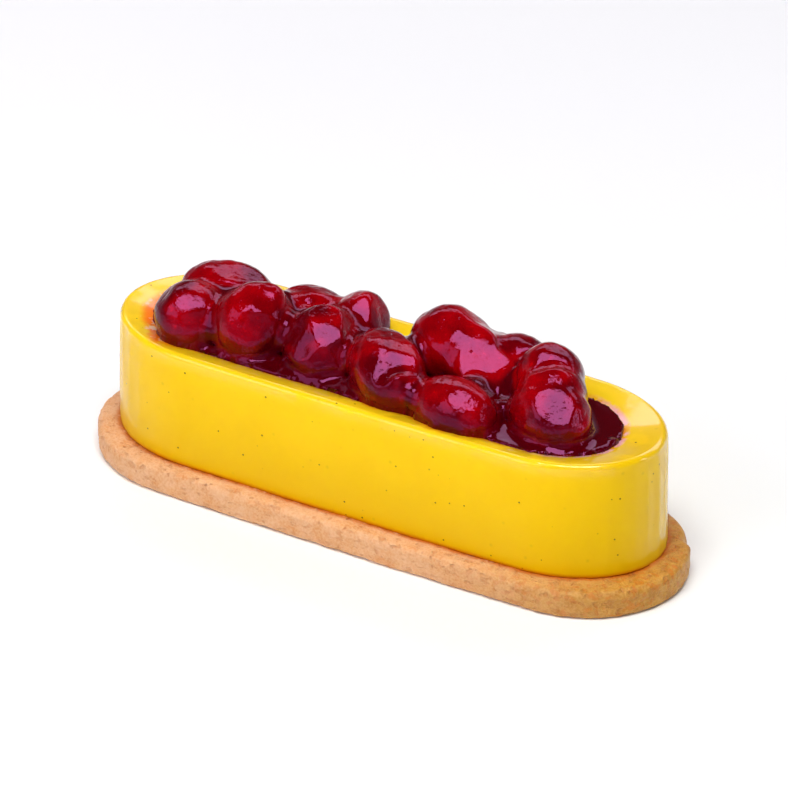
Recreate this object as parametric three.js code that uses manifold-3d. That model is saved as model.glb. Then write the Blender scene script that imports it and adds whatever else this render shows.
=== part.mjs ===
// A finger-shaped cherry tart: a shortbread base, a moulded body of vanilla cream with a dished top,
// a pool of cherry jelly in the dish, and whole pitted cherries lying in the jelly.
// Millimetres, +Z up. The origin is the middle of the base's underside, and +X runs along the tart.

import * as THREE from 'three';
import { mergeVertices } from 'three/addons/utils/BufferGeometryUtils.js';
import Module from 'manifold-3d';

const wasm = await Module();
wasm.setup();

// Driving dimensions

const gap = 0.3; // clear space between neighbouring pieces

const base = {
  length: 130,
  width: 41.4,
  thickness: 5.9,
  capRatio: 1.1, // how long an end cap is, as a share of the half width
  bow: 0.4, // how far the long sides swell at their middle
  edgeRadius: 1.2,
  waviness: 0.28, // how far the baked outline wanders
};

const body = {
  length: 120,
  width: 35.6,
  height: 25,
  footSpread: 0.6, // how much further out the foot stands at each end than the rim
  capRatio: 1.33,
  bow: 0.3,
  centre: [-0.45, 0.85], // the body sits slightly off the middle of its base
  turnDegrees: 0.4,
  footRadius: 0.5,
  rimWidth: 1.1, // from the outer wall in to the crest of the rim
  rimDrop: 1.3, // from the crest down to where the wall is straight
};

// The top is dished: a gently sloping lip runs in from the rim's crest, then falls to a flat floor
// under the jelly. Widths are measured in from the crest, across the tart.
const dish = {
  lipWidth: 4.7,
  lipDrop: 1.4,
  slopeWidth: 4.5, // from the lip's inner edge to the floor
  depth: 5,
  endStretch: 1.5, // how much wider the lip and the slope are at the ends
};

const jelly = {
  thicknessAtShore: 0.2,
  shoreWander: 1.1, // how far the pool's shore strays from the lip's inner edge
};

const bodyFoot = base.thickness + gap;
const crestHeight = base.thickness + body.height;
const jellyLevel = crestHeight - dish.lipDrop + gap;

// Each cherry: the middle, the three diameters and the turn about Z of every lobe, then its dents
// (bulges, with a negative depth) and its flats, where it has slumped or lies against something.
// Both are placed by a direction from the middle. A torn, folded cherry has three lobes.
const cherries = [
  {
    name: 'cherry_01',
    lobes: [{ at: [-42.0, -6.2, 33.5], size: [14.8, 13.8, 14.8], turn: 20 }],
    dents: [{ toward: [0.55, -0.75, 0.35], depth: 0.1, width: 0.35 }],
    flats: [
      { toward: [-0.6, -0.3, 0.7], at: 0.92 },
      { toward: [0.27, -0.5, 0.82], at: 0.9 },
    ],
  },
  {
    name: 'cherry_02',
    lobes: [{ at: [-39.7, 4.4, 33.9], size: [20.2, 13.2, 14.2], turn: 12 }],
    dents: [{ toward: [0.9, 0, 0.5], depth: -0.06, width: 0.4 }],
    flats: [{ toward: [0.1, 0.1, 1], at: 0.88 }],
  },
  {
    name: 'cherry_03',
    lobes: [{ at: [-29.0, -4.0, 34.6], size: [15.8, 15.0, 17.2], turn: 0 }],
    dents: [{ toward: [0.45, 0.45, 0.77], depth: -0.17, width: 0.4 }],
    flats: [
      { toward: [-0.71, 0.07, 0.7], at: 0.89 },
      { toward: [0.42, -0.8, 0.42], at: 0.9 },
      { toward: [0.1, -0.36, 0.93], at: 0.91 },
    ],
  },
  {
    name: 'cherry_04',
    lobes: [{ at: [-22.0, 7.4, 32.4], size: [17.8, 13.4, 13.4], turn: -10 }],
    dents: [{ toward: [0.1, -0.45, 0.9], depth: 0.16, width: 0.24 }],
    flats: [{ toward: [0.1, 0.3, 1], at: 0.9 }],
  },
  {
    name: 'cherry_05',
    lobes: [{ at: [-13.6, -2.6, 33.5], size: [16.2, 15.2, 16.2], turn: 0 }],
    dents: [{ toward: [-0.1, 0.3, 0.95], depth: -0.06, width: 0.3 }],
    flats: [
      { toward: [-0.5, -0.6, 0.62], at: 0.8 },
      { toward: [0.22, -0.37, 0.9], at: 0.86 },
      { toward: [0.49, -0.82, 0.29], at: 0.84 },
      { toward: [0.83, 0.17, 0.5], at: 0.8 },
    ],
  },
  {
    name: 'cherry_06',
    lobes: [{ at: [-11.6, 8.4, 34.0], size: [13.2, 12.4, 13.2], turn: 0 }],
    dents: [
      { toward: [0.55, 0.2, 0.8], depth: -0.18, width: 0.32 },
      { toward: [-0.2, -0.5, 0.8], depth: 0.1, width: 0.35 },
    ],
    flats: [
      { toward: [0.85, 0.13, 0.43], at: 0.74 },
      { toward: [-0.48, 0.02, 0.83], at: 0.86 },
    ],
  },
  {
    name: 'cherry_07',
    lobes: [{ at: [2.4, -4.8, 33.9], size: [21.0, 14.6, 15.4], turn: -38 }],
    flats: [
      { toward: [0, -0.66, 0.75], at: 0.84 },
      { toward: [0.07, 0.18, 0.98], at: 0.86 },
      { toward: [0.52, -0.29, 0.6], at: 0.92 },
      { toward: [0.5, 0.8, 0.3], at: 0.86 },
    ],
  },
  {
    name: 'cherry_08',
    lobes: [
      { at: [9.6, 8.4, 34.8], size: [19.6, 15.8, 15.6], turn: -8 },
      { at: [14.4, 6.6, 35.0], size: [15.6, 13.0, 13.4], turn: -20 },
      { at: [18.4, 4.4, 34.2], size: [16.4, 11.0, 10.8], turn: -26 },
    ],
    dents: [{ toward: [-0.26, 0.4, 0.86], depth: -0.06, width: 0.28 }],
    flats: [
      { toward: [0.09, -0.54, 0.84], at: 0.87 },
      { toward: [0.48, 0.36, 0.78], at: 0.91 },
    ],
  },
  {
    name: 'cherry_09',
    lobes: [{ at: [19.6, -8.3, 32.2], size: [18.6, 12.0, 12.8], turn: -6 }],
    dents: [{ toward: [-0.2, -0.6, 0.7], depth: 0.07, width: 0.3 }],
    flats: [{ toward: [0.6, -0.5, 0.6], at: 0.9 }],
  },
  {
    name: 'cherry_10',
    lobes: [{ at: [23.0, 11.0, 33.4], size: [15.0, 11.8, 12.8], turn: -10 }],
    dents: [{ toward: [0, -0.6, 0.8], depth: 0.06, width: 0.4 }],
    flats: [{ toward: [0.1, 0.2, 1], at: 0.92 }],
  },
  {
    name: 'cherry_11',
    lobes: [
      { at: [37.6, -2.6, 33.4], size: [18.2, 13.8, 14.4], turn: -10 },
      { at: [33.4, 4.9, 36.2], size: [14.2, 12.8, 15.2], turn: 0 },
      { at: [35.8, 1.0, 34.8], size: [14.8, 13.4, 15.6], turn: -5 },
    ],
    dents: [{ toward: [0.3, -0.5, 0.8], depth: 0.04, width: 0.35 }],
    flats: [
      { toward: [0.9, 0.1, 0.35], at: 0.92 },
      { toward: [0.35, -0.6, 0.72], at: 0.9 },
      { toward: [-0.5, -0.8, 0.3], at: 0.92 },
    ],
  },
];

// Materials

const finishes = {
  shortbread: new THREE.MeshStandardMaterial({ color: 0xe0a263, roughness: 0.85, metalness: 0 }),
  cream: new THREE.MeshStandardMaterial({ color: 0xffd328, roughness: 0.35, metalness: 0 }),
  jelly: new THREE.MeshStandardMaterial({ color: 0x5a0008, roughness: 0.08, metalness: 0 }),
  cherry: new THREE.MeshStandardMaterial({ color: 0x8c0410, roughness: 0.12, metalness: 0 }),
};

// Outlines

const capSteps = 22;
const sideSteps = 8;

// An oblong with half-elliptic ends and slightly bowed sides, anticlockwise from the +X end's low corner.
function oblong(length, width, capRatio, bow) {
  const halfWidth = width / 2 - bow;
  const capLength = halfWidth * capRatio;
  const straight = length / 2 - capLength;
  const points = [];
  for (const end of [1, -1]) {
    for (let i = 0; i < capSteps; i++) {
      const angle = Math.PI * (i / capSteps - 0.5);
      const x = straight + capLength * Math.cos(angle);
      points.push(new THREE.Vector2(end * x, end * halfWidth * Math.sin(angle)));
    }
    for (let i = 0; i < sideSteps; i++) {
      const along = 1 - (2 * i) / sideSteps;
      const y = halfWidth + bow * (1 - along ** 2);
      points.push(new THREE.Vector2(end * straight * along, end * y));
    }
  }
  return points;
}

function baseRing(inset, height, wander) {
  const { length, width, capRatio, bow } = base;
  return oblong(length - 2 * inset, width - 2 * inset, capRatio, bow).map(({ x, y }) => {
    const shift = wander * bakedUnevenness(Math.atan2(y * (length / width), x));
    const reach = Math.hypot(x, y);
    return new THREE.Vector3(x * (1 - shift / reach), y * (1 - shift / reach), height);
  });
}

// 0 to 1 round the outline, and 0 at its four outermost points, so the overall size stays exact.
function bakedUnevenness(angle) {
  const clearOfExtremes = Math.sin(2 * angle) ** 2;
  return clearOfExtremes * (0.5 + 0.3 * Math.sin(9 * angle + 1) + 0.2 * Math.sin(17 * angle + 2.4));
}

const turnOfBody = THREE.MathUtils.degToRad(body.turnDegrees);

function onBody(point, height) {
  const turned = point.clone().rotateAround(new THREE.Vector2(), turnOfBody);
  return new THREE.Vector3(turned.x + body.centre[0], turned.y + body.centre[1], height);
}

function bodyRing(inset, height, spread = 0) {
  const { length, width, capRatio, bow } = body;
  const outline = oblong(length + 2 * (spread - inset), width - 2 * inset, capRatio, bow);
  return outline.map((point) => onBody(point, height));
}

// The rim's crest line moved in by a distance. height is a number or a function of that distance,
// and wander a function of the outline's angle that moves the points in or out.
function dishRing(inward, height, wander = () => 0) {
  const { length, width, capRatio, bow, rimWidth } = body;
  const crestLength = length - 2 * rimWidth;
  const crestWidth = width - 2 * rimWidth;
  const ringAt = (distance) =>
    oblong(crestLength - 2 * distance * dish.endStretch, crestWidth - 2 * distance, capRatio, bow);
  return ringAt(inward).map((middle, i) => {
    const distance = inward + wander(Math.atan2(middle.y, middle.x));
    const z = typeof height === 'function' ? height(distance) : height;
    return onBody(ringAt(distance)[i], z);
  });
}

function dishHeight(inward) {
  const { lipWidth, lipDrop, slopeWidth, depth } = dish;
  const alongLip = Math.min(inward / lipWidth, 1);
  const alongSlope = THREE.MathUtils.smoothstep(inward - lipWidth, 0, slopeWidth);
  return crestHeight - lipDrop * alongLip ** 1.4 - (depth - lipDrop) * alongSlope;
}

// Solids

function geometryOf(points, triangles) {
  const geometry = new THREE.BufferGeometry().setFromPoints(points);
  geometry.setIndex(triangles.flat());
  geometry.computeVertexNormals();
  return geometry;
}

// A closed skin over rings of equal length, from the lowest up and over, closed by a fan at each end.
function loft(rings) {
  const count = rings[0].length;
  const middleOf = (ring) => ring.reduce((sum, p) => sum.add(p), new THREE.Vector3()).divideScalar(count);
  const points = rings.flat();
  const triangles = [];
  for (let ring = 0; ring < rings.length - 1; ring++) {
    for (let i = 0; i < count; i++) {
      const a = ring * count + i;
      const b = ring * count + ((i + 1) % count);
      triangles.push([a, b, b + count], [a, b + count, a + count]);
    }
  }
  const last = (rings.length - 1) * count;
  const bottom = points.push(middleOf(rings[0])) - 1;
  const top = points.push(middleOf(rings.at(-1))) - 1;
  for (let i = 0; i < count; i++) {
    const next = (i + 1) % count;
    triangles.push([bottom, next, i], [top, last + i, last + next]);
  }
  return geometryOf(points, triangles);
}

function solidOf(geometry) {
  const bare = geometry.clone();
  bare.deleteAttribute('normal');
  bare.deleteAttribute('uv');
  const merged = mergeVertices(bare, 1e-4);
  const mesh = new wasm.Mesh({
    numProp: 3,
    vertProperties: new Float32Array(merged.attributes.position.array),
    triVerts: new Uint32Array(merged.index.array),
  });
  return new wasm.Manifold(mesh);
}

function geometryFrom(solid) {
  const mesh = solid.getMesh();
  const geometry = new THREE.BufferGeometry();
  geometry.setAttribute('position', new THREE.BufferAttribute(mesh.vertProperties, 3));
  geometry.setIndex(new THREE.BufferAttribute(mesh.triVerts, 1));
  geometry.computeVertexNormals();
  return geometry;
}

function largestPiece(solid) {
  return solid.decompose().reduce((best, piece) => (piece.volume() > best.volume() ? piece : best));
}

// The shortbread base

function shortbreadGeometry() {
  const { thickness, edgeRadius, waviness } = base;
  const rings = [];
  for (const degrees of [0, 45, 90]) {
    const angle = THREE.MathUtils.degToRad(degrees);
    rings.push(baseRing(edgeRadius * (1 - Math.sin(angle)), edgeRadius * (1 - Math.cos(angle)), waviness));
  }
  for (const degrees of [0, 30, 60, 90]) {
    const angle = THREE.MathUtils.degToRad(degrees);
    const height = thickness - edgeRadius * (1 - Math.sin(angle));
    rings.push(baseRing(edgeRadius * (1 - Math.cos(angle)), height, waviness));
  }
  return loft(rings);
}

// The cream body, from its foot up the wall, over the rim and down into the dish

const rimSteps = 3;
const dishDistances = [0.4, 2.4, 4.7, 6.2, 7.6, 9.2];

function creamGeometry() {
  const { footRadius, footSpread, rimWidth, rimDrop } = body;
  const rings = [
    bodyRing(footRadius, bodyFoot, footSpread),
    bodyRing(0, bodyFoot + footRadius, footSpread),
    bodyRing(0, bodyFoot + 5 * footRadius, footSpread / 2),
  ];
  for (let i = 0; i <= rimSteps; i++) {
    const angle = (Math.PI / 2) * (i / rimSteps);
    const height = crestHeight - rimDrop * (1 - Math.sin(angle));
    rings.push(bodyRing(rimWidth * (1 - Math.cos(angle)), height));
  }
  for (const inward of dishDistances) rings.push(dishRing(inward, dishHeight));
  return loft(rings);
}

// The jelly: its underside follows the dish, its top is level, and its shore wanders a little

function shoreWander(angle) {
  const waves = Math.sin(5 * angle + 0.6) + 0.6 * Math.sin(11 * angle + 2);
  return (jelly.shoreWander * waves) / 1.6;
}

function jellyGeometry() {
  const underside = (inward) => dishHeight(inward) + gap;
  const shore = (inward) => underside(inward) + jelly.thicknessAtShore;
  const { lipWidth, slopeWidth } = dish;
  return loft([
    dishRing(lipWidth + slopeWidth, underside),
    dishRing(lipWidth + slopeWidth * 0.6, underside),
    dishRing(lipWidth + slopeWidth * 0.3, underside),
    dishRing(lipWidth, underside, shoreWander),
    dishRing(lipWidth, shore, shoreWander),
    dishRing(lipWidth + 1.5, jellyLevel, shoreWander),
    dishRing(lipWidth + slopeWidth, jellyLevel),
  ]);
}

// The cherries

const lumpiness = 0.03;
const flatSoftness = 0.018; // how gently a flat runs out into the round

// How far the skin lies from a lobe's middle in one direction, as a share of the plain ellipsoid.
function cherryReach(direction, { dents = [], flats = [] }, seed) {
  const { x, y, z } = direction;
  const lumps = Math.sin(3 * x + 2 * seed) + Math.sin(4 * y + 3 * seed) + Math.sin(3.5 * z + 5 * seed);
  let reach = 1 + (lumpiness * lumps) / 3;
  for (const { toward, depth, width } of dents) {
    const away = direction.angleTo(new THREE.Vector3(...toward));
    reach -= depth * Math.exp(-((away / width) ** 2));
  }
  for (const { toward, at } of flats) {
    const facing = Math.max(0.1, direction.dot(new THREE.Vector3(...toward).normalize()));
    const over = reach - at / facing;
    reach -= flatSoftness * Math.log(1 + Math.exp(over / flatSoftness));
  }
  return reach;
}

function lobeSolid({ at, size, turn }, marks, seed, { swell = 0, detail = 4 }) {
  const ball = new THREE.IcosahedronGeometry(1, detail);
  const position = ball.attributes.position;
  const radii = new THREE.Vector3(...size).divideScalar(2);
  const turnAboutZ = new THREE.Matrix4().makeRotationZ(THREE.MathUtils.degToRad(turn));
  const point = new THREE.Vector3();
  for (let i = 0; i < position.count; i++) {
    point.fromBufferAttribute(position, i);
    const reach = cherryReach(point.clone().applyMatrix4(turnAboutZ), marks, seed);
    point.multiply(radii.clone().multiplyScalar(reach).addScalar(swell));
    position.setXYZ(i, ...point);
  }
  ball.applyMatrix4(turnAboutZ);
  ball.translate(...at);
  return solidOf(ball);
}

// The dents and flats belong to a cherry's first lobe, and its other lobes are a little coarser.
function cherrySolid({ lobes: [first, ...others], dents, flats }, seed, options = {}) {
  return others.reduce(
    (whole, lobe, i) => whole.add(lobeSolid(lobe, {}, seed + i + 1, { detail: 3, ...options })),
    lobeSolid(first, { dents, flats }, seed, options),
  );
}

// Assembly

const tart = new THREE.Group();

function addPiece(name, geometry, material) {
  const mesh = new THREE.Mesh(geometry, material);
  mesh.name = name;
  tart.add(mesh);
}

addPiece('biscuit_base', shortbreadGeometry(), finishes.shortbread);

const cream = creamGeometry();
addPiece('cream_body', cream, finishes.cream);

// Each cherry gives way to the cream and to the cherries placed before it.
const takenSpace = [solidOf(cream.clone().translate(0, 0, 1.5 * gap))];
cherries.forEach((cherry, i) => {
  const free = takenSpace.reduce((rest, neighbour) => rest.subtract(neighbour), cherrySolid(cherry, i));
  addPiece(cherry.name, geometryFrom(largestPiece(free)), finishes.cherry);
  takenSpace.push(cherrySolid(cherry, i, { swell: gap }));
});

// The jelly is poured round them. A coarser hollow with a little more room keeps its mesh light.
const hollow = { swell: gap * 1.7, detail: 3 };
const pool = cherries.reduce(
  (rest, cherry, i) => rest.subtract(cherrySolid(cherry, i, hollow)),
  solidOf(jellyGeometry()),
);
addPiece('cherry_jelly', geometryFrom(largestPiece(pool)), finishes.jelly);

export default tart;
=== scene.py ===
# A finger-shaped cherry tart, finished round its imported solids: a baked shortbread base, a moulded body
# of vanilla cream with a dished top, and pitted cherries held in a shiny cherry jelly.
# Metres, +Z up, as in the frame. The tart lies along X, with its underside on Z = 0.

import math

import bpy
import numpy as np
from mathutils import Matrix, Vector, noise
from mathutils.bvhtree import BVHTree


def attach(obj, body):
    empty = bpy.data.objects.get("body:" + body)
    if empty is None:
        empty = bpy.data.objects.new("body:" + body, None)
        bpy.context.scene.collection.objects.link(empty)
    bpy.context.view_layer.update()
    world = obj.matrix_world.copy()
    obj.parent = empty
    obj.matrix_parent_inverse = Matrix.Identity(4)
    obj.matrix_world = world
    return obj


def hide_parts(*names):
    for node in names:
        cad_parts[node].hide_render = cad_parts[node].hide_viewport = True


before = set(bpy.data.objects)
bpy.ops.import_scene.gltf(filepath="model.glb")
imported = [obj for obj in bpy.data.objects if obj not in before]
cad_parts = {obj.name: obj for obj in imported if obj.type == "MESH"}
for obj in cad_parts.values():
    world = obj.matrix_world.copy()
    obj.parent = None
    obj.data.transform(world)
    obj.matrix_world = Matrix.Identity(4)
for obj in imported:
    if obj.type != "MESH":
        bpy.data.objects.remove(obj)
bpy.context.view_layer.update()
MM = 0.001

# Shortbread base
# A rolled sheet of butter shortbread, cut as a long oblong and baked flat. It is sandy and porous, a
# little uneven along its edge, and browner towards its +X end, where a flake of its top has come off.


def pick(*pieces):
    """Leaves only these pieces selected, the first of them active."""
    bpy.ops.object.select_all(action="DESELECT")
    for piece in pieces:
        piece.select_set(True)
    bpy.context.view_layer.objects.active = pieces[0]


def copy_of_solid(node, name):
    """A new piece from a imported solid, its loose triangles merged into one skin."""
    piece = bpy.data.objects.new(name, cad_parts[node].data.copy())
    piece.data.name = name
    piece.data.materials.clear()
    bpy.context.scene.collection.objects.link(piece)
    pick(piece)
    bpy.ops.object.mode_set(mode="EDIT")
    bpy.ops.mesh.select_all(action="SELECT")
    bpy.ops.mesh.remove_doubles(threshold=0.002 * MM)
    bpy.ops.mesh.tris_convert_to_quads()
    bpy.ops.object.mode_set(mode="OBJECT")
    return piece


def apply_modifier(piece, kind, **settings):
    pick(piece)
    modifier = piece.modifiers.new(kind, kind)
    for setting, value in settings.items():
        setattr(modifier, setting, value)
    bpy.ops.object.modifier_apply(modifier=modifier.name)


def roughen(piece, size, depth):
    """Relief in and out along the skin: lumps of about this size, this deep from top to bottom."""
    pattern = bpy.data.textures.new(f"{piece.name}_clouds", "CLOUDS")
    pattern.noise_scale = size
    apply_modifier(piece, "DISPLACE", texture=pattern, texture_coords="LOCAL", strength=depth)


def points_of(piece):
    """A piece's points, and the way its skin faces at each, as two arrays."""
    places, outward = np.empty((2, len(piece.data.vertices) * 3))
    piece.data.vertices.foreach_get("co", places)
    piece.data.vertices.foreach_get("normal", outward)
    return places.reshape(-1, 3), outward.reshape(-1, 3)


def place_points(piece, places):
    piece.data.vertices.foreach_set("co", places.ravel())
    piece.data.update()


def waves(places, size, seed=0):
    """Smooth swells of about this size, -1 to 1, at each of these places."""
    return np.array([noise.noise(Vector(place / size) + Vector((seed, 0, 0))) for place in places])


def fall_off(distance, reach):
    """1 at no distance, easing down to 0 at reach and beyond it."""
    nearness = (1 - distance / reach).clip(0)
    return nearness**2 * (3 - 2 * nearness)


def press(piece, at, radius, depth, facing=None):
    """A soft dent against the way the skin faces round a point, or with a negative depth a bump."""
    places, outward = points_of(piece)
    against = outward if facing is None else np.array(facing)
    depths = depth * fall_off(np.linalg.norm(places - at, axis=1), radius)
    place_points(piece, places - against * depths[:, None])


def linear(red, green, blue):
    """A colour as a paint chart gives it, 0 to 255, turned to the linear values shaders take."""
    return tuple(
        (c / 255 / 12.92 if c <= 10 else ((c / 255 + 0.055) / 1.055) ** 2.4) for c in (red, green, blue)
    ) + (1.0,)


class Finish:
    """A Principled material with helpers that build its pattern in the piece's own space."""

    def __init__(self, name, **sockets):
        self.material = bpy.data.materials.new(name)
        self.material.use_nodes = True
        self.nodes = self.material.node_tree.nodes
        self.links = self.material.node_tree.links
        self.shader = self.nodes["Principled BSDF"]
        for socket, value in sockets.items():
            self.shader.inputs[socket.replace("_", " ").replace("Ior", "IOR")].default_value = value
        self.space = self.nodes.new("ShaderNodeTexCoord").outputs["Object"]

    def node(self, kind, inputs, output=0, **settings):
        made = self.nodes.new(kind)
        for setting, value in settings.items():
            setattr(made, setting, value)
        for socket, value in inputs.items():
            if isinstance(value, bpy.types.NodeSocket):
                self.links.new(value, made.inputs[socket])
            else:
                made.inputs[socket].default_value = value
        return made.outputs[output]

    def noise(self, size, low=0.35, high=0.65, detail=3, stretch=(1, 1, 1)):
        """Soft blotches of about this size, spread to fill 0 to 1."""
        place = self.node("ShaderNodeMapping", {"Vector": self.space, "Scale": stretch})
        value = self.node(
            "ShaderNodeTexNoise", {"Vector": place, "Scale": 1 / size, "Detail": detail}
        )
        return self.ramp(value, low, high)

    def spots(self, spacing, radius, edge=0.3, shift=0):
        """1 inside round spots scattered through the piece, 0 outside."""
        place = self.node("ShaderNodeMapping", {"Vector": self.space, "Location": (shift, shift, 0)})
        distance = self.node(
            "ShaderNodeTexVoronoi", {"Vector": place, "Scale": 1 / spacing}, output="Distance"
        )
        reach = radius / spacing
        return self.ramp(distance, reach * (1 + edge), reach * (1 - edge))

    def ramp(self, value, start, end, low=0.0, high=1.0):
        """Turns start to end of a value into low to high, and holds it there."""
        limits = {"Value": value, 1: start, 2: end, 3: low, 4: high}
        return self.node("ShaderNodeMapRange", limits, interpolation_type="SMOOTHSTEP")

    def axis(self, letter):
        return self.node("ShaderNodeSeparateXYZ", {0: self.space}, output="XYZ".index(letter))

    def attribute(self, name):
        return self.node("ShaderNodeAttribute", {}, output="Fac", attribute_name=name)

    def times(self, first, second):
        return self.node("ShaderNodeMath", {0: first, 1: second}, operation="MULTIPLY")

    def mix(self, amount, base, over):
        """A base colour with another laid over it, 0 for none of it and 1 for all."""
        return self.node("ShaderNodeMixRGB", {"Fac": amount, "Color1": base, "Color2": over})

    def connect(self, socket, value):
        self.links.new(value, self.shader.inputs[socket])

    def bump(self, *reliefs):
        """Fine relief from (height, depth) pairs, one on top of the other."""
        normal = None
        for height, depth in reliefs:
            inputs = {"Height": height, "Distance": depth, "Strength": 1.0}
            if normal:
                inputs["Normal"] = normal
            normal = self.node("ShaderNodeBump", inputs)
        self.connect("Normal", normal)


def settle(piece, finish, slot, *nodes):
    """Gives a finished piece its material and its place in the tart."""
    piece.data.materials.append(finish.material)
    pick(piece)
    bpy.ops.object.shade_smooth()
    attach(piece, "root")
    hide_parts(*nodes)


def skin_of(*pieces):
    """The pieces' skins as one tree to measure distances to."""
    corners, faces = [], []
    for piece in pieces:
        start = len(corners)
        corners += [vertex.co.copy() for vertex in piece.data.vertices]
        faces += [[start + i for i in face.vertices] for face in piece.data.polygons]
    return BVHTree.FromPolygons(corners, faces)


def record_nearness(piece, name, skin, reach):
    """Writes how near each point of a piece is to a skin: 1 at the skin, 0 at reach or further."""
    values = []
    for vertex in piece.data.vertices:
        found = skin.find_nearest(vertex.co, reach)
        values.append(1 - found[3] / reach if found[0] else 0.0)
    piece.data.attributes.new(name, "FLOAT", "POINT").data.foreach_set("value", values)


def nearness_of(piece, name):
    """What record_nearness wrote, as an array."""
    values = np.empty(len(piece.data.vertices))
    piece.data.attributes[name].data.foreach_get("value", values)
    return values


shortbread = copy_of_solid("biscuit_base", "shortbread")
apply_modifier(shortbread, "REMESH", mode="VOXEL", voxel_size=0.42 * MM)
apply_modifier(shortbread, "SMOOTH", factor=0.5, iterations=3)
roughen(shortbread, size=9 * MM, depth=0.5 * MM)
roughen(shortbread, size=2.2 * MM, depth=0.36 * MM)
roughen(shortbread, size=0.9 * MM, depth=0.2 * MM)

# Pores and short cracks left by butter and sugar, opening on the edge and the top
pore_spacing = 2.1 * MM
pore_radius = 0.34 * MM
pore_depth = 0.42 * MM
places, outward = points_of(shortbread)
openings = np.empty(len(places))
for i, place in enumerate(places):
    cell = Vector(place * (0.7, 0.7, 1.0)) / pore_spacing  # drawn out flat by the rolling
    wander = 1 + 0.5 * noise.noise(cell * 0.4)
    openings[i] = 1 - noise.voronoi(cell)[0][0] * pore_spacing / (pore_radius * wander)
place_points(shortbread, places - outward * (pore_depth * openings.clip(0))[:, None])

# The lost flake at the +X end: a step down in the top's edge, a raised lip and a torn ridge beside it
flake_edge = [  # middle, radius, depth and facing, in mm
    ((61.6, 12.0, 5.9), 3.6, 1.1, (0.5, 0.2, 0.9)),
    ((63.9, 8.6, 5.4), 2.4, -0.5, (0.3, 0, 0.9)),
]
ridge_steps = 8
for step in range(ridge_steps + 1):
    along = step / ridge_steps
    flake_edge.append(((59.6 + 2.2 * along, -1.6 + 8.4 * along, 5.9), 1.0, -0.32, (0, 0, 1)))
for at, radius, depth, facing in flake_edge:
    press(shortbread, Vector(at) * MM, radius * MM, depth * MM, Vector(facing))

# It baked flat on its tray
places, _ = points_of(shortbread)
places[:, 2] = places[:, 2].clip(0)
place_points(shortbread, places)

baked = Finish(
    "baked_shortbread", Subsurface_Weight=0.1, Subsurface_Scale=0.8 * MM,
    Subsurface_Radius=(1.0, 0.5, 0.25), Specular_Ior_Level=0.4,
)
grain = baked.noise(0.5 * MM, 0.3, 0.7)
cracks = baked.noise(1.2 * MM, 0.55, 0.68, detail=6, stretch=(0.7, 0.7, 1.2))
butter_pores = baked.spots(2.7 * MM, 0.3 * MM, edge=0.5)
crumb = baked.mix(baked.noise(5 * MM), linear(228, 174, 126), linear(222, 158, 100))
crumb = baked.mix(baked.times(baked.noise(3.4 * MM, 0.5, 0.72), 0.6), crumb, linear(216, 140, 70))
crumb = baked.mix(baked.times(grain, 0.5), crumb, linear(240, 200, 156))
browning = baked.ramp(baked.axis("X"), 14 * MM, 66 * MM)
toasted = baked.mix(baked.noise(2.4 * MM), linear(202, 146, 50), linear(180, 118, 10))
toasted = baked.mix(baked.times(grain, 0.45), toasted, linear(222, 170, 84))
toasted = baked.mix(baked.times(baked.noise(1.5 * MM, 0.53, 0.62), 0.7), toasted, linear(200, 116, 0))
crumb = baked.mix(browning, crumb, toasted)
crumb = baked.mix(baked.times(cracks, 0.32), crumb, linear(206, 122, 54))
crumb = baked.mix(baked.times(butter_pores, 0.4), crumb, linear(186, 104, 44))
soaked = baked.times(baked.ramp(baked.attribute("cream_near"), 0.35, 0.95), baked.noise(1.6 * MM, 0.15, 0.5))
crumb = baked.mix(soaked, crumb, linear(200, 108, 10))
baked.connect("Base Color", crumb)
baked.connect("Roughness", baked.ramp(baked.axis("X"), 30 * MM, 64 * MM, low=0.75, high=0.42))
baked.bump((grain, 0.1 * MM), (cracks, -0.2 * MM), (butter_pores, -0.2 * MM))

# Vanilla cream body
# Set vanilla cream, turned out of an oblong ring and glazed. It is smooth and satin, with a rounded
# rim, a shallow lip round the dished top, a soft foot, and fine black vanilla seeds all through it.

cream = copy_of_solid("cream_body", "vanilla_cream")
apply_modifier(cream, "SUBSURF", levels=3, render_levels=3)

# Upright ripples in the sides, faint along the middle and stronger round both ends
ripple_depth = 0.2 * MM
ends_from, ends_over, middle_share = 44, 14, 0.2
places, outward = points_of(cream)
ripples = waves(places * (0.32, 0.42, 0.05), MM)
endness = middle_share + (np.abs(places[:, 0]) / MM - ends_from).clip(0) / ends_over
upright = 1 - np.abs(outward[:, 2])
places += outward * (ripple_depth * ripples * upright * endness.clip(0, 1))[:, None]

# The soft foot sinks into its seat on the shortbread
foot_top, foot_height, sink = 8.4 * MM, 2.1 * MM, 0.8 * MM
places[:, 2] -= sink * ((foot_top - places[:, 2]) / foot_height).clip(0, 1)
place_points(cream, places)
roughen(cream, size=14 * MM, depth=0.16 * MM)

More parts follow.
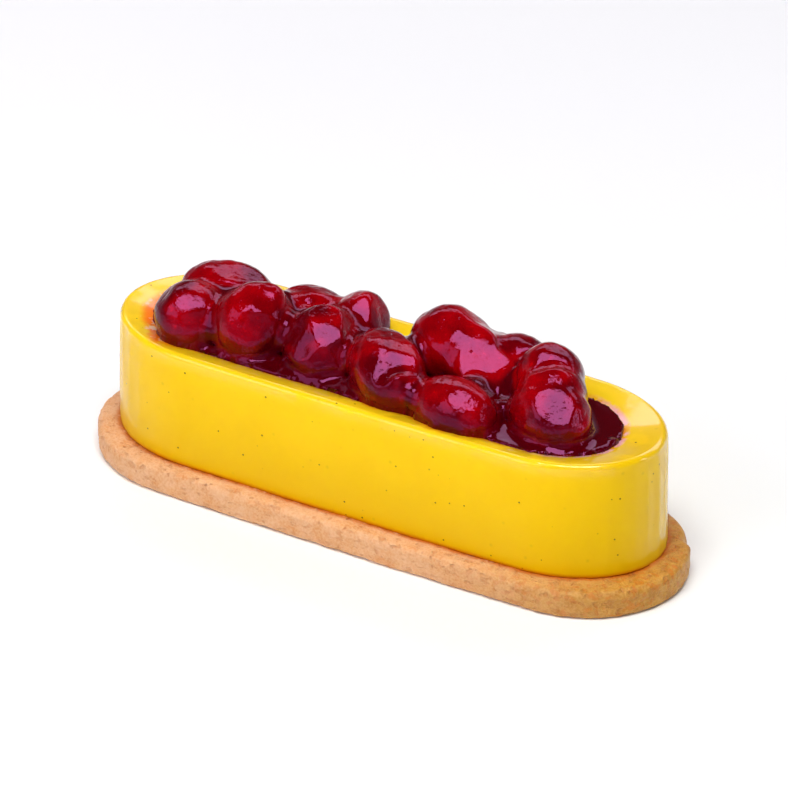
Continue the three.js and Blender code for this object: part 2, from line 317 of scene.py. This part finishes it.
satin = Finish(
    "satin_vanilla_cream", Roughness=0.26, Subsurface_Weight=0.25, Subsurface_Scale=2.2 * MM,
    Subsurface_Radius=(1.0, 0.8, 0.05), Specular_Ior_Level=0.35, Specular_Tint=(1.0, 0.85, 0.2, 1.0),
    Coat_Roughness=0.07,
)
custard = satin.mix(satin.noise(22 * MM), linear(252, 208, 6), linear(246, 201, 0))
# Painted shade and painted light: the cream is darker towards its foot and paler on its top and lip
custard = satin.mix(satin.ramp(satin.axis("Z"), 6 * MM, 27 * MM), linear(232, 187, 0), custard)
custard = satin.mix(satin.ramp(satin.axis("Z"), 26 * MM, 31 * MM), custard, linear(252, 209, 22))
# Painted shade: the cream is darker towards its +X end
far_end_shade = satin.ramp(satin.axis("X"), 40 * MM, 60 * MM, high=0.6)
custard = satin.mix(far_end_shade, custard, linear(222, 180, 0))
sunken = satin.times(satin.spots(4.1 * MM, 0.3 * MM, edge=0.9, shift=0.013), 0.22)
custard = satin.mix(sunken, custard, linear(150, 130, 10))
seeds = satin.times(satin.spots(2.9 * MM, 0.19 * MM, edge=0.3), satin.noise(9 * MM, 0.38, 0.47))
custard = satin.mix(seeds, custard, linear(52, 40, 4))

# Juice has stained the cream along the shore and bled into it at the -X end.
# By the shore at both ends the cream is wet, and its gleam there is painted on as pale colour.
jelly_near = satin.attribute("jelly_near")
stain = satin.times(satin.ramp(jelly_near, 0.45, 1.0), satin.noise(2.4 * MM, 0.3, 0.6))
custard = satin.mix(satin.times(stain, 0.8), custard, linear(240, 130, 10))
# At the -X end the orange is partly juice bled into the cream and partly a painted glow of red light through
# the jelly
bled_stain_and_glow = satin.times(satin.ramp(jelly_near, 0.0, 0.7), satin.ramp(satin.axis("X"), -40 * MM, -46 * MM))
bled_stain_and_glow = satin.times(bled_stain_and_glow, satin.noise(4 * MM, 0.25, 0.5))
custard = satin.mix(satin.times(bled_stain_and_glow, 0.9), custard, linear(250, 110, 8))
# Painted reflection: a pale pink sheen on the wet cream by the shore at the +X end
painted_shore_sheen = satin.times(satin.ramp(jelly_near, 0.5, 0.85), satin.noise(2.2 * MM, 0.38, 0.5))
painted_shore_sheen = satin.times(painted_shore_sheen, satin.ramp(satin.axis("X"), 36 * MM, 46 * MM, high=0.9))
custard = satin.mix(painted_shore_sheen, custard, linear(246, 178, 182))
# Painted highlights: pale patches on the wet cream by the shore at the -X end
painted_wet_highlights = satin.times(satin.ramp(jelly_near, 0.15, 0.5), satin.noise(2.6 * MM, 0.52, 0.6))
painted_wet_highlights = satin.times(painted_wet_highlights, satin.ramp(satin.axis("X"), -43 * MM, -47 * MM, high=0.8))
custard = satin.mix(painted_wet_highlights, custard, linear(250, 214, 178))

# Painted shade: the foot is darker orange where it meets the shortbread
foot_shade = satin.ramp(satin.axis("Z"), 7.1 * MM, 6.0 * MM)
custard = satin.mix(foot_shade, custard, linear(214, 130, 0))
satin.connect("Base Color", custard)
wet_top = satin.times(satin.ramp(satin.axis("Z"), 27.5 * MM, 30.5 * MM), satin.noise(6 * MM, 0.36, 0.54))
wet_end = satin.ramp(satin.axis("X"), 56 * MM, 60 * MM, high=0.3)
satin.connect("Coat Weight", satin.node("ShaderNodeMath", {0: wet_top, 1: wet_end}, operation="MAXIMUM"))

record_nearness(shortbread, "cream_near", skin_of(cream), 1.9 * MM)
settle(shortbread, baked, "shortbread", "biscuit_base")

# Cherries
# Eleven pitted sour cherries, cooked in their syrup until the flesh is soft. They have slumped and gone
# flat on some sides, the skin is puckered, lobes fold into one another, and one shows its pit hole.

# Pit holes: the cherry, the middle of the hole, its radius and its depth, in mm
pit_holes = [(4, (-20.9, 4.0, 38.3), 1.5, 1.1)]

# Flat sides: the cherry, the middle of the lobe, the way the flat faces, how deep it cuts into the lobe's
# summit, and for a long or short lobe how far it may spread from the middle, in mm
front, top, right = Vector((0.30, -0.55, 0.78)), Vector((0.20, -0.03, 0.98)), Vector((0.84, -0.27, 0.47))
slumped = [
    (1, (-42.0, -6.2, 33.5), top, 0.3),
    (2, (-39.7, 4.4, 33.9), top, 0.5),
    (3, (-29.0, -4.0, 34.6), Vector((0.45, -0.30, 0.85)), 0.5),
    (4, (-22.0, 7.4, 32.4), Vector((-0.24, -0.1, 0.96)), 0.5),
    (5, (-13.6, -2.6, 33.5), Vector((-0.05, -0.80, 0.60)), 1.0),
    (5, (-13.6, -2.6, 33.5), Vector((0.22, -0.22, 0.95)), 0.8),
    (5, (-13.6, -2.6, 33.5), Vector((0.72, -0.58, 0.38)), 0.7),
    (5, (-13.6, -2.6, 33.5), front, 0.9),
    (6, (-11.6, 8.4, 34.0), front, 0.6),
    (7, (2.4, -4.8, 33.9), front, 1.5),
    (7, (2.4, -4.8, 33.9), top, 0.5),
    (7, (2.4, -4.8, 33.9), right, 0.6),
    (8, (9.6, 8.4, 34.8), Vector((0.14, -0.80, 0.59)), 0.8, 10.5),
    (8, (9.6, 8.4, 34.8), Vector((0.26, -0.26, 0.93)), 0.6, 24.0),
    (8, (9.6, 8.4, 34.8), front, 0.5, 24.0),
    (9, (19.6, -8.3, 32.2), right, 0.5),
    (9, (19.6, -8.3, 32.2), front, 0.3),
    (10, (23.0, 11.0, 33.4), front, 0.4),
    (11, (37.6, -2.6, 33.4), front, 0.5),
    (11, (33.4, 4.9, 36.2), front, 2.6, 8.5),
    (11, (33.4, 4.9, 36.2), top, 0.4),
    (11, (37.6, -2.6, 33.4), right, 0.6),
]

# Cherries whose lobes run softly into one another: the radius of the crease in mm, and the steps to it
folds = {8: (7.0, 220), 11: (3.0, 90)}

# Fruit and jelly share one gloss and one depth of colour
glazed = dict(
    Roughness=0.05, Specular_Ior_Level=0.36, Specular_Tint=(1.0, 0.26, 0.76, 1.0),
    Subsurface_Weight=0.15, Subsurface_Scale=1.6 * MM, Subsurface_Radius=(1.0, 0.1, 0.08),
)
syrupy = Finish("syrupy_cherry_skin", **glazed)


def fuse(piece, gap, voxel):
    """One even skin for a piece, with every gap narrower than this closed."""
    apply_modifier(piece, "DISPLACE", strength=gap / 2, mid_level=0)
    apply_modifier(piece, "REMESH", mode="VOXEL", voxel_size=voxel)
    apply_modifier(piece, "SMOOTH", factor=0.5, iterations=5)
    apply_modifier(piece, "DISPLACE", strength=-gap / 2, mid_level=0)


def fill_hollows(piece, radius, steps):
    """Lets syrup settle in the creases, until none of them curves in more tightly than this radius."""
    ends = np.empty(len(piece.data.edges) * 2, dtype=int)
    piece.data.edges.foreach_get("vertices", ends)
    neighbours = np.bincount(ends)
    one, other = ends.reshape(-1, 2).T
    places, _ = points_of(piece)
    spacing = np.linalg.norm(places[one] - places[other], axis=1).mean()
    sag_allowed = spacing**2 / (4 * radius)  # of a point below the mean of its neighbours
    share_per_step = 0.8
    for _ in range(steps):
        places, outward = points_of(piece)
        around = [
            np.bincount(one, places[other, axis], len(places))
            + np.bincount(other, places[one, axis], len(places))
            for axis in range(3)
        ]
        hollow = ((np.array(around) / neighbours).T - places) * outward
        rise = (hollow.sum(axis=1) - sag_allowed).clip(0)
        place_points(piece, places + outward * (share_per_step * rise)[:, None])


def fruit_colour(finish):
    """The cherry's red, from wine-dark to bright and with painted shade low down, the same wherever fruit
    and jelly meet.
    """
    flesh = finish.mix(finish.noise(7 * MM), linear(122, 0, 5), linear(158, 0, 7))
    flesh = finish.mix(finish.noise(1.2 * MM, 0.6, 0.8), flesh, linear(180, 2, 6))
    flesh = finish.mix(finish.noise(11 * MM, 0.46, 0.66), flesh, linear(88, 0, 6))
    # Painted shade: darker towards the bottom of the fruit and of the jelly
    shaded = finish.times(finish.ramp(finish.axis("Z"), 36 * MM, 30.5 * MM), 0.6)
    return finish.mix(shaded, flesh, linear(68, 0, 14))


def fruit_relief(finish, where=1.0):
    """Fine puckers under the glaze, and the odd tiny bubble in it."""
    puckers = finish.times(finish.noise(1.4 * MM, 0.3, 0.7), where)
    bubbles = finish.times(finish.spots(2.3 * MM, 0.19 * MM, edge=0.9), where)
    fine = finish.times(finish.noise(0.7 * MM, 0.3, 0.7), where)
    finish.bump((puckers, 0.03 * MM), (fine, 0.01 * MM), (bubbles, 0.07 * MM))


def slump(piece, lobe, facing, depth, spread=9.5):
    """Flattens the side of a lobe that faces this way, cutting this far into its summit, in mm."""
    places, _ = points_of(piece)
    facing = np.array(facing.normalized())
    from_middle = places - np.array(lobe) * MM
    distance = np.linalg.norm(from_middle, axis=1)
    height = from_middle @ facing
    summit_cone = 0.96  # the cosine within which the lobe's own summit is looked for
    summit = height[height > summit_cone * distance].max()
    edge = 0.12 * MM  # how far the rim of the flat is rounded
    most = 30  # edges: this keeps exp small, and no cut goes deeper
    over = ((height - summit + depth * MM) / edge).clip(-most, most)
    fade = 0.1 * spread * MM
    in_lobe = ((spread * MM - distance) / fade).clip(0, 1)
    cut = edge * np.log1p(np.exp(over)) * in_lobe
    place_points(piece, places - cut[:, None] * facing)


def pucker(piece, amount=1.0):
    """The wrinkles and creases of cooked skin, softened by the glaze over it."""
    fine_depth, wrinkle_depth, crease_depth, crease_thinness = 0.035, 0.12, 0.06, 5
    places, outward = points_of(piece)
    wrinkles = fine_depth * waves(places, 1.5 * MM) + wrinkle_depth * waves(places, 3.4 * MM, seed=5)
    swells = waves(places * (1, 1, 0.6), 6.5 * MM, seed=2)
    creases = (1 - crease_thinness * np.abs(swells)).clip(0)  # where a swell turns over
    relief = (wrinkles - crease_depth * creases**1.5) * MM
    place_points(piece, places + outward * (amount * relief)[:, None])


syrupy.connect("Base Color", fruit_colour(syrupy))
fruit_relief(syrupy)

fruit = []
for number in range(1, 12):
    cherry = copy_of_solid(f"cherry_{number:02d}", f"sour_cherry_{number:02d}")
    fuse(cherry, gap=0.4 * MM, voxel=0.3 * MM)
    apply_modifier(cherry, "SMOOTH", factor=0.5, iterations=40)
    if number in folds:
        fold_radius, steps = folds[number]
        fill_hollows(cherry, fold_radius * MM, steps)
    for of_cherry, *flat in slumped:
        if of_cherry == number:
            slump(cherry, *flat)
    roughen(cherry, size=6 * MM, depth=0.3 * MM)
    fruit.append(cherry)

# Cherry jelly
# The thickened cherry juice, poured over the fruit while warm. It lies as a dark pool in the dish, fills
# the gaps between the cherries with smooth bridges, and wets the cream at its shore.

# Syrup caught where cherries touch or nearly touch: the middle and the radius of each drop, in mm
caught = [
    ((-36.9, -1.8, 36.3), 2.6),
    ((-35.0, -8.2, 34.0), 2.4),
    ((-32.6, 1.2, 33.6), 3.0),
    ((-26.8, 3.6, 35.6), 3.2),
    ((-21.1, -2.0, 34.8), 3.0),
    ((-15.4, 5.2, 34.4), 3.2),
    ((-8.0, 3.0, 33.4), 3.0),
    ((-5.6, -1.4, 33.2), 3.0),
    ((3.9, 2.2, 34.4), 3.2),
    ((11.5, -9.6, 33.4), 2.8),
    ((14.6, -4.6, 32.4), 3.2),
    ((20.2, -2.0, 32.6), 3.2),
    ((17.0, 13.0, 34.0), 3.6),
    ((26.4, 3.4, 33.0), 3.2),
    ((26.6, -2.6, 31.0), 2.6),
]
# Syrup standing higher than the pool, in low beads along the shore and, the last of them, in a string
# that has sagged between two cherries: from, to, half width and height, in mm
beads = [
    ((-27.5, -11.2, 30.4), (-19.5, -11.2, 30.4), 1.6, 0.55),
    ((-15.0, -10.6, 30.4), (-4.0, -11.0, 30.4), 1.7, 0.6),
    ((5.6, -11.6, 30.4), (12.5, -12.2, 30.4), 1.4, 0.4),
    ((30.8, -10.6, 30.4), (41.0, -9.8, 30.4), 1.5, 0.45),
    ((47.5, -7.5, 30.4), (49.9, 0.5, 30.4), 1.3, 0.7),
    ((49.9, 0.5, 30.4), (49.0, 7.0, 30.4), 1.3, 0.7),
    ((30.6, -9.6, 30.4), (27.4, -4.0, 33.8), 1.4, 0.9),
]


def heap_up(piece, start, end, half_width, height):
    """Raises a smooth ridge in the skin along a line."""
    start, end = np.array(start) * MM, np.array(end) * MM
    places, outward = points_of(piece)
    along = ((places - start) @ (end - start) / np.sum((end - start) ** 2)).clip(0, 1)
    away = np.linalg.norm(places - start - along[:, None] * (end - start), axis=1)
    overhang = -0.2  # skin that faces further down than this stays where it is
    fall = fall_off(away, half_width * MM) * (outward[:, 2] > overhang)
    place_points(piece, places + (height * MM * fall)[:, None] * (0, 0, 1))


def drop_of_syrup(at, radius, segments=24, rings=14):
    """A round drop, built point by point so that its faces come in the same order on each run."""
    radius = radius * MM
    corners = [(0, 0, radius)]
    for ring in range(1, rings):
        tilt = math.pi * ring / rings
        across = radius * math.sin(tilt)
        for segment in range(segments):
            turn = 2 * math.pi * segment / segments
            corners.append((across * math.cos(turn), across * math.sin(turn), radius * math.cos(tilt)))
    corners.append((0, 0, -radius))
    bottom, lowest_ring = len(corners) - 1, 1 + (rings - 2) * segments
    faces = []
    for segment in range(segments):
        beside = (segment + 1) % segments
        faces.append((0, 1 + segment, 1 + beside))
        for upper in range(1, lowest_ring, segments):
            lower = upper + segments
            faces.append((upper + segment, lower + segment, lower + beside, upper + beside))
        faces.append((lowest_ring + segment, bottom, lowest_ring + beside))
    mesh = bpy.data.meshes.new("drop")
    mesh.from_pydata(corners, [], faces)
    drop = bpy.data.objects.new("drop", mesh)
    bpy.context.scene.collection.objects.link(drop)
    drop.location = Vector(at) * MM
    return drop


jelly = copy_of_solid("cherry_jelly", "jelly_glaze")
drops = [drop_of_syrup(*drop) for drop in caught]
pick(*fruit)
bpy.ops.object.duplicate()
pick(jelly, *bpy.context.selected_objects, *drops)
bpy.ops.object.join()
fuse(jelly, gap=0.8 * MM, voxel=0.34 * MM)
for bead in beads:
    heap_up(jelly, *bead)
fill_hollows(jelly, radius=5.0 * MM, steps=300)

# The jelly thins to nothing where a cherry stands clear of it, and the cherry's own skin is outermost
apply_modifier(jelly, "DISPLACE", strength=-0.05 * MM, mid_level=0)

# Fruit and jelly wrinkle as one, up to where the jelly leaves the fruit
record_nearness(jelly, "fruit_near", skin_of(*fruit), 1.6 * MM)
pucker(jelly, (nearness_of(jelly, "fruit_near") * 1.4).clip(0, 1))
for cherry in fruit:
    pucker(cherry)
for number, at, radius, depth in pit_holes:
    for piece in (fruit[number - 1], jelly):
        press(piece, Vector(at) * MM, radius * MM, depth * MM)

# The shore wanders, and where the jelly lies by the cream it is drawn onto it, to meet it all round
cream_skin = skin_of(cream)
wetting_reach = 1.1 * MM
soak_in = 0.25 * MM
shore_wander = 0.8 * MM
record_nearness(jelly, "cream_near", cream_skin, 2 * wetting_reach)
places, outward = points_of(jelly)
bays = waves(places, 3.2 * MM, seed=9) + 0.5 * waves(places, 1.3 * MM, seed=4)
wander = shore_wander * nearness_of(jelly, "cream_near") * bays
places += outward * (1, 1, 0) * wander[:, None]
for i, place in enumerate(places):
    nearest, up, _, distance = cream_skin.find_nearest(place, wetting_reach)
    if nearest and (Vector(place) - nearest).dot(up) > 0:
        facing = np.clip(0.5 - 2 * up.dot(outward[i]), 0, 1)
        places[i] -= np.array(up) * ((distance + soak_in) * facing)
place_points(jelly, places)

record_nearness(cream, "jelly_near", skin_of(jelly), 3.2 * MM)
settle(cream, satin, "vanilla_cream", "cream_body")

pooled = Finish("set_cherry_jelly", **glazed)
on_fruit = pooled.ramp(pooled.attribute("fruit_near"), 0.3, 0.95)
wine = pooled.mix(on_fruit, linear(76, 0, 6), fruit_colour(pooled))
thin_edge = pooled.ramp(pooled.attribute("cream_near"), 0.8, 1.0)
pooled.connect("Base Color", pooled.mix(thin_edge, wine, linear(198, 44, 6)))
fruit_relief(pooled, on_fruit)
settle(jelly, pooled, "jelly", "cherry_jelly")
for number, cherry in enumerate(fruit, start=1):
    settle(cherry, syrupy, "glazed_cherry", f"cherry_{number:02d}")

# Studio
# A white table under one large soft box, with a long one behind, a narrow one low at the right, and weak
# fills in front and at the left. The lamps are turned with the camera.

bpy.ops.mesh.primitive_plane_add(size=8, location=(0, 0, 0))
table = bpy.context.object
table.name = "white_table"
paper = Finish("white_paper", Roughness=0.9, Specular_Ior_Level=0.0)
paper.connect("Base Color", paper.mix(paper.noise(0.4), linear(246, 250, 246), linear(250, 254, 250)))
table.data.materials.append(paper.material)

middle = Vector((0, 0, 20 * MM))


def direction(azimuth, elevation):
    """From the tart towards an azimuth, 0 at -Y and 90 at +X, and an elevation, in degrees."""
    turn, rise = math.radians(azimuth), math.radians(elevation)
    return Vector((math.sin(turn) * math.cos(rise), -math.cos(turn) * math.cos(rise), math.sin(rise)))


def soft_box(name, azimuth, elevation, distance, width, depth, radiance, colour=(1, 1, 1)):
    """A rectangular lamp facing the tart."""
    away = direction(azimuth, elevation)
    lamp = bpy.data.lights.new(name, "AREA")
    lamp.shape, lamp.size, lamp.size_y = "RECTANGLE", width, depth
    lamp.energy = radiance * math.pi * width * depth
    lamp.color = colour
    holder = bpy.data.objects.new(name, lamp)
    bpy.context.scene.collection.objects.link(holder)
    holder.location = middle + away * distance
    holder.rotation_euler = (-away).to_track_quat("-Z", "Y").to_euler()
    holder.visible_camera = False


camera_azimuth = 30.81
soft_box("overhead", camera_azimuth - 8, 72, 0.9, 0.55, 0.42, 9.5)
soft_box("behind", camera_azimuth + 165, 43, 1.1, 1.9, 0.32, 2.8, colour=(0.92, 0.82, 1.0))
soft_box("front_left", camera_azimuth - 55, 32, 1.2, 0.9, 0.7, 2.5, colour=(1.0, 0.88, 1.0))
soft_box("front", camera_azimuth + 10, 28, 1.6, 1.2, 0.7, 0.5)
soft_box("right_strip", camera_azimuth + 77, 15, 1.2, 0.16, 0.6, 4.5)

world = bpy.data.worlds.new("studio")
bpy.context.scene.world = world
world.use_nodes = True
sky = world.node_tree
upwards = sky.nodes.new("ShaderNodeSeparateXYZ")
fading = sky.nodes.new("ShaderNodeMapRange")  # light walls round the table, a dim ceiling above
ceiling_from, wall_light, ceiling_light = 0.34, 0.5, 0.04
for limit, value in enumerate((0.0, ceiling_from, wall_light, ceiling_light), start=1):
    fading.inputs[limit].default_value = value
sky.links.new(sky.nodes.new("ShaderNodeTexCoord").outputs["Generated"], upwards.inputs[0])
sky.links.new(upwards.outputs["Z"], fading.inputs["Value"])
sky.links.new(fading.outputs[0], sky.nodes["Background"].inputs["Strength"])
sky.nodes["Background"].inputs["Color"].default_value = (0.9, 0.8, 1, 1)

# Camera: a long lens from the front and right, looking down at 31 degrees
camera_elevation = 31.08
camera_distance = 1.3
look_at = Vector((0, 0, 17.33 * MM))
raise_view, turn_view = 0.304, 0.045  # degrees, so that the tart stands a little off the middle
lens = bpy.data.cameras.new("long_lens")
lens.sensor_width = 36
lens.lens = 302.7
lens.clip_start, lens.clip_end = 0.05, 20
camera = bpy.data.objects.new("camera", lens)
bpy.context.scene.collection.objects.link(camera)
camera.location = look_at + direction(camera_azimuth, camera_elevation) * camera_distance
camera.rotation_euler = (
    math.radians(90 - camera_elevation + raise_view), 0, math.radians(camera_azimuth - turn_view)
)
bpy.context.scene.camera = camera
bpy.context.scene.view_settings.view_transform = "Standard"
